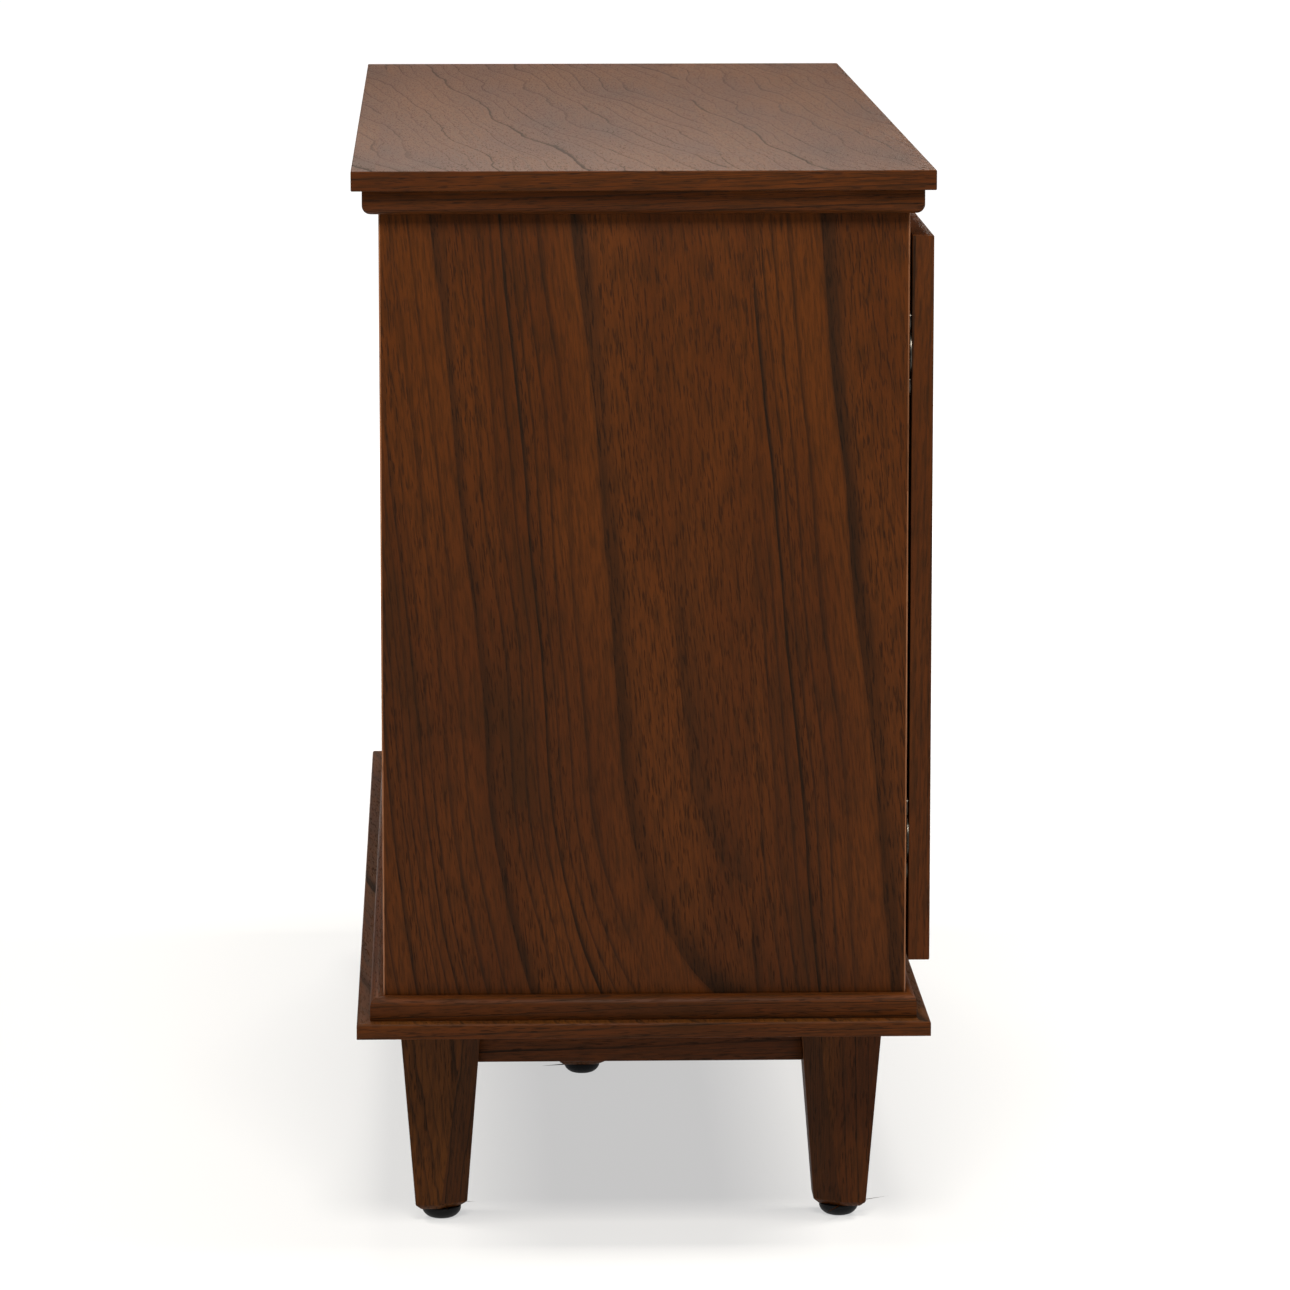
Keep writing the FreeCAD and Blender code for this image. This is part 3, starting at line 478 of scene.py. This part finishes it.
COATS = {
    "zinc_plate": {"dark": "9c9c96", "light": "c6c6c0", "rough": 0.34, "metallic": 1.0, "size": 2.5,
                   "relief": 0.02},
    # painted shade: the nickel is far darker than bright nickel, for metal in the shade inside the cabinet
    "nickel_plate": {"dark": "5c5851", "light": "827d75", "rough": 0.34, "metallic": 1.0, "size": 1.2,
                     "relief": 0.01, "stretch": (1, 1, 0.15)},
    "black_plastic": {"dark": "08080a", "light": "111113", "rough": 0.5, "metallic": 0.0, "size": 0.7,
                      "relief": 0.05, "sheen": 0.12},
}
for name, coat in COATS.items():
    FINISHES[name] = mottled(name, **coat)
print(len(COATS), "mottled finishes")

# %% Antique brass
WEAR_SIZE = 6
brass, brass_tree, brass_surface = surface("antique_brass", {"Metallic": 1.0})
brass_place = add(brass_tree, "TexCoord")["Object"]
wear = add(brass_tree, "TexNoise", {"Scale": 1 / (WEAR_SIZE * mm), "Detail": 5, "Roughness": 0.6},
           {"Vector": brass_place})[0]
edges = add(brass_tree, "NewGeometry")["Pointiness"]
edges = add(brass_tree, "MapRange", {1: 0.48, 2: 0.56}, {0: edges})[0]
worn = add(brass_tree, "Math", {"operation": "MULTIPLY_ADD", 1: 0.55}, {0: edges, 2: wear})[0]
brass_colour = add(brass_tree, "ValToRGB", {}, {0: worn},
                   [(0.35, linear("3d2c17")), (0.6, linear("7d6033")), (0.95, linear("b08e52"))])[0]
brass_gloss = add(brass_tree, "MapRange", {1: 0.3, 2: 0.9, 3: 0.46, 4: 0.24}, {0: worn})[0]
brass_tree.links.new(brass_colour, brass_surface.inputs["Base Color"])
brass_tree.links.new(brass_gloss, brass_surface.inputs["Roughness"])
FINISHES["antique_brass"] = brass
print(len(FINISHES), "finishes")

# %% [markdown]
# ## Dress the boards
#
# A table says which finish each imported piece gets, and a loop puts it on. Boards that nobody sees closely
# are the right shape already and need no more than this. The copies that are made later take their finish
# with them.

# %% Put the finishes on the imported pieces
LEVELS = ("lower", "middle", "upper")
SIDES = ("left", "right")
LEGS = ("leg_front_left", "leg_front_right", "leg_back_right", "leg_back_left", "leg_centre")
FRONTS = ["door_left", "door_right"] + [f"drawer_front_{level}" for level in LEVELS]
DRESS = {
    "walnut_left_end": ["side_panel_left", "partition_left"],
    "walnut_right_end": ["side_panel_right", "partition_right"],
    "walnut_top": ["top_slab", "base_slab"],
    "walnut_fronts": FRONTS,
    "walnut_strip_x": [f"{kind}_moulding_{side}" for kind in ("top", "base") for side in ("front", "back")]
    + [f"{kind}_rail_{end}" for kind in ("head", "plinth") for end in ("front", "back")] + ["centre_rail"],
    "walnut_strip_y": [f"{kind}_moulding_{side}" for kind in ("top", "base") for side in SIDES]
    + [f"cross_rail_{side}" for side in SIDES],
    "walnut_legs": list(LEGS),
    "walnut_inside": ["cabinet_floor", "sub_top", "shelf_left", "shelf_right"],
    "sealed_hardwood": [f"drawer_sides_{level}" for level in LEVELS] + ["drawer_runners"],
    "sealed_hardwood_cross": [f"drawer_back_{level}" for level in LEVELS],
    "stained_plywood": ["back_panel"] + [f"drawer_bottom_{level}" for level in LEVELS],
    "zinc_plate": ["top_screws", "rail_screws", "leg_bolts"],
    "nickel_plate": ["shelf_pins", "hinge_arms", "hinge_plates"] + [f"hinge_cups_{side}" for side in SIDES],
    "black_plastic": ["glides"],
    "antique_brass": [f"knob_{place}" for place in SIDES + LEVELS],
}
for finish, names in DRESS.items():
    for name in names:
        nodes[name].data.materials.clear()
        nodes[name].data.materials.append(FINISHES[finish])
print(sum(len(names) for names in DRESS.values()), "of", len(nodes), "nodes dressed")

# %% [markdown]
# ## Eased boards
#
# No sanded board has a knife edge: the joiner takes it off with a stroke of paper, and the thin rounded
# line that is left catches the light along every board. A copy of each board is merged into whole faces,
# gets a narrow bevel on its sharp edges, and stands in for the square one. Soft shading stops at the sharp
# turns that are left.
#
# The broad boards are veneered, and veneer ends at the edge. Thin strips of solid wood are glued over the
# edges, so the grain runs along every edge and never shows its end. Each face of the copy gets the veneer
# or the strip that suits the way it looks. On the side panels the rounded edges get a lighter finish, a
# painted highlight for the light that the rounding catches, which leaves a fine light line beside the doors.


# %% Pick pieces and parts of them
def begin():
    """Leave edit mode and deselect everything."""
    if bpy.context.object and bpy.context.object.mode != "OBJECT":
        bpy.ops.object.mode_set(mode="OBJECT")
    bpy.ops.object.select_all(action="DESELECT")


def choose(piece):
    """Select one piece and make it the active one."""
    begin()
    piece.select_set(True)
    bpy.context.view_layer.objects.active = piece


STRAIGHT = 0.9  # a normal or an edge with this share along an axis counts as straight along it


def edit_selected(piece, chosen, domain):
    """Go into edit mode with only some edges or polygons selected."""
    choose(piece)
    bpy.ops.object.mode_set(mode="EDIT")
    bpy.ops.mesh.select_mode(type="EDGE" if domain == "edges" else "FACE")
    bpy.ops.mesh.select_all(action="DESELECT")
    bpy.ops.object.mode_set(mode="OBJECT")
    for element in getattr(piece.data, domain):
        element.select = chosen(element)
    bpy.ops.object.mode_set(mode="EDIT")


# %% Ease a board's edges
WELD = 0.01
FLAT_WITHIN = math.radians(0.5)


def round_edges(piece, width, segments=2, sharper_than=30):
    """Bevel every edge that turns by more than an angle in degrees, by a width in mm, and shade it soft."""
    choose(piece)
    bevel = piece.modifiers.new("eased", "BEVEL")
    bevel.width = width * mm
    bevel.segments = segments
    bevel.limit_method = "ANGLE"
    bevel.angle_limit = math.radians(sharper_than)
    bevel.use_clamp_overlap = False
    bpy.ops.object.modifier_apply(modifier=bevel.name)
    bpy.ops.object.shade_smooth_by_angle(angle=math.radians(sharper_than))


def merged_copy(name):
    """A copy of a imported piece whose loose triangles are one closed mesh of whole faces."""
    piece = bpy.data.objects.new(f"{name}_eased", nodes[name].data.copy())
    bpy.context.collection.objects.link(piece)
    choose(piece)
    bpy.ops.mesh.customdata_custom_splitnormals_clear()
    bpy.ops.object.mode_set(mode="EDIT")
    bpy.ops.mesh.select_all(action="SELECT")
    bpy.ops.mesh.remove_doubles(threshold=WELD * mm)
    bpy.ops.mesh.dissolve_limited(angle_limit=FLAT_WITHIN)
    bpy.ops.object.mode_set(mode="OBJECT")
    return piece


# %% Let a piece stand in for a packed one
record = frame["record"]
body_of_node = {name: body for body, names in record["behaviour"]["bodies"].items() for name in names}


def stand_in(piece, name):
    """A piece takes the place of a packed one: its body."""
    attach(piece, body_of_node[name])
    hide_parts(name)


# %% Veneered boards
SQUARE_ON = 0.95


def lipped(piece, through):
    """Cover a board's edges with strips whose grain runs along each edge. Through is the axis across its
    thickness, as a number. The strips are slots 1 to 3, for grain along x, y and z."""
    for way in "xyz":
        piece.data.materials.append(FINISHES[f"walnut_strip_{way}"])
    for face in piece.data.polygons:
        shares = [abs(share) for share in face.normal]
        facing = shares.index(max(shares))
        if facing != through:
            along = 3 - through - facing
            face.material_index = 1 + along


def paint_edge_highlight(piece):
    """Paint a highlight on the rounded edges of a lipped board: they take a lighter finish."""
    piece.data.materials.append(FINISHES["walnut_edge_highlight"])
    for face in piece.data.polygons:
        if max(abs(share) for share in face.normal) < SQUARE_ON:
            face.material_index = len(piece.data.materials) - 1


# each board's axis across its thickness, and the width in mm of its easing
VENEERED = {f"side_panel_{side}": (0, 1.2) for side in SIDES}
VENEERED.update({f"partition_{side}": (0, 1.0) for side in SIDES})
VENEERED.update({f"shelf_{side}": (2, 1.0) for side in SIDES})
VENEERED.update({name: (2, 0.4) for name in ("top_slab", "base_slab")})
VENEERED.update({name: (1, 0.5) for name in FRONTS})
for name, (through, width) in VENEERED.items():
    piece = merged_copy(name)
    round_edges(piece, width)
    lipped(piece, through)
    # the side panels' rounded edges get a painted highlight in a lighter finish
    if name.startswith("side_panel"):
        paint_edge_highlight(piece)
    stand_in(piece, name)
    print(piece.name, [round(edge, 3) for edge in piece.dimensions])

# %% [markdown]
# ## Solid boards
#
# The moulded strips, the rails between the legs and the drawer boxes are solid wood, so they need no strips
# over their edges. The drawer sides are handled from inside and get the widest easing, and the moulding
# keeps the crisp edge that the cutter left.

# %% Solid boards
SOLID = {0.8: ["cross_rail_left", "cross_rail_right", "centre_rail"],
         0.5: [f"{kind}_moulding_{side}" for kind in ("top", "base")
               for side in ("front", "right", "back", "left")],
         1.5: [f"drawer_sides_{level}" for level in LEVELS] + [f"drawer_back_{level}" for level in LEVELS]}
for width, names in SOLID.items():
    for name in names:
        piece = merged_copy(name)
        round_edges(piece, width)
        stand_in(piece, name)
print(len(VENEERED), "veneered boards and", sum(len(names) for names in SOLID.values()), "solid ones eased")

# %% [markdown]
# ## Legs
#
# The legs are sawn from solid blanks, tapered on all four sides and faceted beside the outer corner. The
# facets get a darker copy of the leg stain, a painted shade that sets them off from the faces. The foot is
# chamfered all round, because a sharp end would splinter when the cabinet is pushed over a floor.

# %% Chamfer the feet of the legs
FOOT_CHAMFER = 4
LEG_EASING = 0.9
FACET_TURN = 15
FACET_AREA = 500 * mm * mm
FACET_SLANT = 0.35
for name in LEGS:
    piece = merged_copy(name)
    foot_level = min(vertex.co.z for vertex in piece.data.vertices)
    edit_selected(piece, lambda face: face.normal.z < -STRAIGHT and face.center.z < foot_level + mm,
                  "polygons")
    bpy.ops.mesh.bevel(offset=FOOT_CHAMFER * mm, segments=1)
    bpy.ops.mesh.select_mode(type="VERT")
    bpy.ops.object.mode_set(mode="OBJECT")
    round_edges(piece, LEG_EASING, sharper_than=FACET_TURN)
    # the facets take the darker finish, a painted shade
    piece.data.materials.append(FINISHES["walnut_leg_facet_shade"])
    for face in piece.data.polygons:
        if min(abs(face.normal.x), abs(face.normal.y)) > FACET_SLANT and face.area > FACET_AREA:
            face.material_index = 1
    stand_in(piece, name)
print(len(LEGS), "legs,", len(piece.data.polygons), "faces in the last")

# %% [markdown]
# ## Turned pieces
#
# A lathe makes a knob or a foot by cutting the same section all the way round. The mesh grows the same way:
# a ring starts at one end, and is pushed on along the axis and made wider or narrower at each step of the
# section. For a knob the steps are only the corners of the shape, and a subdivision surface turns them into
# the flowing curve that a tool leaves. The other round pieces are pressed or moulded, and their sections
# have steps enough.


# %% Grow a round piece ring by ring
SOFT_WITHIN = math.radians(40)


def turned(name, foot, axis, section, sides=32, smoothing=0):
    """A closed round piece. The section lists radius and reach along the axis, in mm."""
    begin()
    axis = Vector(axis)
    radius, reach = section[0]
    turn = Vector((0, 0, 1)).rotation_difference(axis).to_euler()
    bpy.ops.mesh.primitive_circle_add(vertices=sides, radius=radius * mm, fill_type="NGON",
                                      location=Vector(foot) + axis * reach * mm, rotation=turn)
    piece = bpy.context.object
    piece.name = name
    bpy.ops.object.transform_apply(location=True, rotation=True, scale=True)
    bpy.ops.object.mode_set(mode="EDIT")
    bpy.ops.mesh.select_all(action="SELECT")
    for next_radius, next_reach in section[1:]:
        step = axis * (next_reach - reach) * mm
        bpy.ops.mesh.extrude_region_move(TRANSFORM_OT_translate={"value": step})
        centre = Vector(foot) + axis * next_reach * mm
        bpy.ops.transform.resize(value=[next_radius / radius] * 3, center_override=centre)
        radius, reach = next_radius, next_reach
    bpy.ops.mesh.select_all(action="SELECT")
    bpy.ops.mesh.normals_make_consistent(inside=False)
    bpy.ops.object.mode_set(mode="OBJECT")
    if smoothing:
        rounding = piece.modifiers.new("rounding", "SUBSURF")
        rounding.levels = rounding.render_levels = smoothing
        bpy.ops.object.modifier_apply(modifier=rounding.name)
    bpy.ops.object.shade_smooth_by_angle(angle=SOFT_WITHIN)
    return piece


# %% Join, copy and dress pieces
def joined(pieces, name):
    """Several pieces as one, under one name."""
    begin()
    for piece in pieces:
        piece.select_set(True)
    bpy.context.view_layer.objects.active = pieces[0]
    bpy.ops.object.join()
    pieces[0].name = name
    return pieces[0]


def copied(piece, step, flip_x=False):
    """A copy with a mesh of its own, moved by a step and, if it is flipped, mirrored in the plane X = 0."""
    choose(piece)
    bpy.ops.object.duplicate(linked=False)
    copy = bpy.context.object
    copy.location = step
    if flip_x:
        copy.scale.x = -1
    bpy.ops.object.transform_apply(location=True, rotation=True, scale=True)
    if flip_x:
        bpy.ops.object.mode_set(mode="EDIT")
        bpy.ops.mesh.select_all(action="SELECT")
        bpy.ops.mesh.normals_make_consistent(inside=False)
        bpy.ops.object.mode_set(mode="OBJECT")
    return copy


def dressed(piece, finish):
    """A piece all in one finish."""
    piece.data.materials.clear()
    piece.data.materials.append(FINISHES[finish])
    return piece


# %% [markdown]
# ## Hinges
#
# A cup hinge is pressed from thin steel and nickel plated. Its cup is a deep drawn pan that sits in a bore
# in the door, with an ear above and one below for the screws. Its arm is folded into a channel that clips
# over a plate on the side panel, and three screws along it hold the arm and set how the door hangs. One
# lower hinge is modelled on the left. Copies of it go up to the other level, and mirrored ones go to the
# right.


# %% Pressed boxes
def pressed(name, low_corner, high_corner, axis, corner):
    """A flat box whose four edges along one axis are rounded, by a corner radius in mm."""
    begin()
    low_corner = Vector(low_corner)
    high_corner = Vector(high_corner)
    bpy.ops.mesh.primitive_cube_add(size=1, location=(low_corner + high_corner) / 2,
                                    scale=high_corner - low_corner)
    piece = bpy.context.object
    piece.name = name
    bpy.ops.object.transform_apply(location=True, rotation=True, scale=True)

    def along_axis(edge):
        start, end = [piece.data.vertices[index].co for index in edge.vertices]
        return abs((end - start).normalized()[axis]) > STRAIGHT

    edit_selected(piece, along_axis, "edges")
    bpy.ops.mesh.bevel(offset=corner * mm, segments=4)
    bpy.ops.mesh.select_mode(type="VERT")
    bpy.ops.object.mode_set(mode="OBJECT")
    bpy.ops.object.shade_smooth_by_angle(angle=SOFT_WITHIN)
    return piece


# %% Hinge cup
CUP_SECTION = [(16.4, -11.9), (17.4, -11), (17.4, -0.05), (17.9, 0), (17.9, 0.7), (17.5, 1), (16.7, 1),
               (16.2, 0.5), (16.2, -10.2), (15.6, -10.8), (1, -10.8)]
HEAD_SECTION = [(3.4, 0), (3.4, 0.7), (2.8, 1.5), (1.5, 1.8), (1.4, 0.9), (0.4, 0.8)]
EAR_WIDTH = 14
EAR_START = 17
EAR_REACH = 31
EAR_SHEET = 0.9
EAR_CORNER = 4
EAR_SCREW = 24
cup_low, cup_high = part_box("hinge_cups_left")
hinge_level = cup_low.z + EAR_REACH * mm
hinge_rise = cup_high.z - EAR_REACH * mm - hinge_level
cup_foot = Vector(((cup_low.x + cup_high.x) / 2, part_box("door_left")[1].y, hinge_level))
cup_pieces = [turned("cup", cup_foot, (0, 1, 0), CUP_SECTION)]
for way in (-1, 1):
    ear_bottom, ear_top = sorted((way * EAR_START, way * EAR_REACH))
    ear_low = cup_foot + Vector((-EAR_WIDTH / 2, 0, ear_bottom)) * mm
    ear_high = cup_foot + Vector((EAR_WIDTH / 2, EAR_SHEET, ear_top)) * mm
    cup_pieces.append(pressed("ear", ear_low, ear_high, 1, EAR_CORNER))
    head_foot = cup_foot + Vector((0, EAR_SHEET, way * EAR_SCREW)) * mm
    cup_pieces.append(turned("ear_screw", head_foot, (0, 1, 0), HEAD_SECTION, 20))
lower_cup = joined(cup_pieces, "lower_cup")
print("hinges at", round(hinge_level, 4), "and", round(hinge_level + hinge_rise, 4))

# %% Hinge arm
ARM_HEIGHT = 9
ARM_WIDTH = 12
ARM_SHEET = 1.2
ARM_CORNER = 3
ARM_EASING = 0.35
ARM_SCREWS = (24, 46, 68)
arm_low, arm_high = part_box("hinge_arms")
channel = pressed("channel",
                  (arm_low.x, arm_low.y, hinge_level - ARM_WIDTH / 2 * mm),
                  (arm_low.x + ARM_HEIGHT * mm, arm_high.y, hinge_level + ARM_WIDTH / 2 * mm), 0, ARM_CORNER)
edit_selected(channel, lambda face: face.normal.x < -STRAIGHT, "polygons")
bpy.ops.mesh.inset(thickness=ARM_SHEET * mm)
bpy.ops.mesh.extrude_region_move(TRANSFORM_OT_translate={"value": ((ARM_HEIGHT - ARM_SHEET) * mm, 0, 0)})
bpy.ops.mesh.select_mode(type="VERT")
bpy.ops.object.mode_set(mode="OBJECT")
round_edges(channel, ARM_EASING)
arm_pieces = [channel]
for reach in ARM_SCREWS:
    head_foot = (arm_low.x + ARM_HEIGHT * mm, arm_low.y + reach * mm, hinge_level)
    arm_pieces.append(turned("arm_screw", head_foot, (1, 0, 0), HEAD_SECTION, 20))
lower_arm = joined(arm_pieces, "lower_arm")
print("arm", [round(edge, 4) for edge in lower_arm.dimensions])

# %% Mounting plate
PLATE_THICKNESS = 3
PLATE_HALF = 25
PLATE_CORNER = 7
PLATE_EASING = 0.5
PLATE_SCREW = 17
plate_low, plate_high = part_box("hinge_plates")
cross_plate = pressed("cross_plate",
                      (plate_low.x, plate_low.y, hinge_level - PLATE_HALF * mm),
                      (plate_low.x + PLATE_THICKNESS * mm, plate_high.y, hinge_level + PLATE_HALF * mm),
                      0, PLATE_CORNER)
round_edges(cross_plate, PLATE_EASING)
plate_middle = (plate_low.y + plate_high.y) / 2
plate_pieces = [cross_plate]
for way in (-1, 1):
    head_foot = (plate_low.x + PLATE_THICKNESS * mm, plate_middle, hinge_level + way * PLATE_SCREW * mm)
    plate_pieces.append(turned("plate_screw", head_foot, (1, 0, 0), HEAD_SECTION, 20))
lower_plate = joined(plate_pieces, "lower_plate")
print("plate", [round(edge, 4) for edge in lower_plate.dimensions])

# %% Copy the hinge to every place
UP = (0, 0, hinge_rise)
STAY = (0, 0, 0)
left_cups = joined([lower_cup, copied(lower_cup, UP)], "pressed_cups_left")
right_cups = copied(left_cups, STAY, flip_x=True)
right_cups.name = "pressed_cups_right"
left_arms = joined([lower_arm, copied(lower_arm, UP)], "left_arms")
all_arms = joined([left_arms, copied(left_arms, STAY, flip_x=True)], "folded_arms")
left_plates = joined([lower_plate, copied(lower_plate, UP)], "left_plates")
all_plates = joined([left_plates, copied(left_plates, STAY, flip_x=True)], "cross_plates")
for piece, name in ((left_cups, "hinge_cups_left"), (right_cups, "hinge_cups_right"),
                    (all_arms, "hinge_arms"), (all_plates, "hinge_plates")):
    stand_in(dressed(piece, "nickel_plate"), name)
    print(piece.name, [round(edge, 3) for edge in piece.dimensions])

# %% [markdown]
# ## Knobs
#
# The knobs are small turned brass mushrooms: a flat rose on the wood, a waist for the fingertips, and a
# domed head with a bead turned round its edge. Each knob stands on its own front and moves with it.

# %% Knobs
KNOB_SECTION = [(8.4, 0), (9, 0.3), (9, 1.9), (8.2, 2.6), (5.9, 4.2), (5.3, 7.5), (5.6, 11.5), (8.4, 14.4),
                (13.1, 16.2), (14, 17.2), (14, 18.9), (13.2, 19.9), (12.1, 20.1), (11.8, 20.5), (10.9, 22.0),
                (7.4, 23.5), (2.4, 24.0)]
for place in SIDES + LEVELS:
    knob_low, knob_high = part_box(f"knob_{place}")
    centre = (knob_low + knob_high) / 2
    front = "door_" if place in SIDES else "drawer_front_"
    centre.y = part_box(front + place)[0].y
    knob = turned(f"turned_knob_{place}", centre, (0, -1, 0), KNOB_SECTION, 24, smoothing=2)
    dressed(knob, "antique_brass")
    stand_in(knob, f"knob_{place}")
    print(knob.name, "head at", round(min(vertex.co.y for vertex in knob.data.vertices), 4))

# %% [markdown]
# ## Glides
#
# Each leg stands on a black plastic glide. It has a rounded foot, a shallow dish in the middle where the
# head of its nail sits, and a thin shoulder against the wood.

# %% Glides
GLIDE_SECTION = [(14.2, 9), (15, 8.6), (15, 6.9), (14.7, 5.6), (14.0, 4.2), (13.0, 2.9), (11.7, 1.7),
                 (10.2, 0.7), (8.6, 0.1), (7.6, 0), (6.8, 0.3), (5.9, 1.4), (4.6, 1.6), (4.4, 0.9),
                 (3.4, 0.5), (1.2, 0.4)]
glides = []
for leg in LEGS:
    leg_low, leg_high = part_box(leg)
    foot = (leg_low + leg_high) / 2
    foot.z = low.z
    glides.append(turned(f"glide_{leg}", foot, (0, 0, 1), GLIDE_SECTION, 40))
glide_set = dressed(joined(glides, "moulded_glides"), "black_plastic")
stand_in(glide_set, "glides")
print(len(glides), "glides")
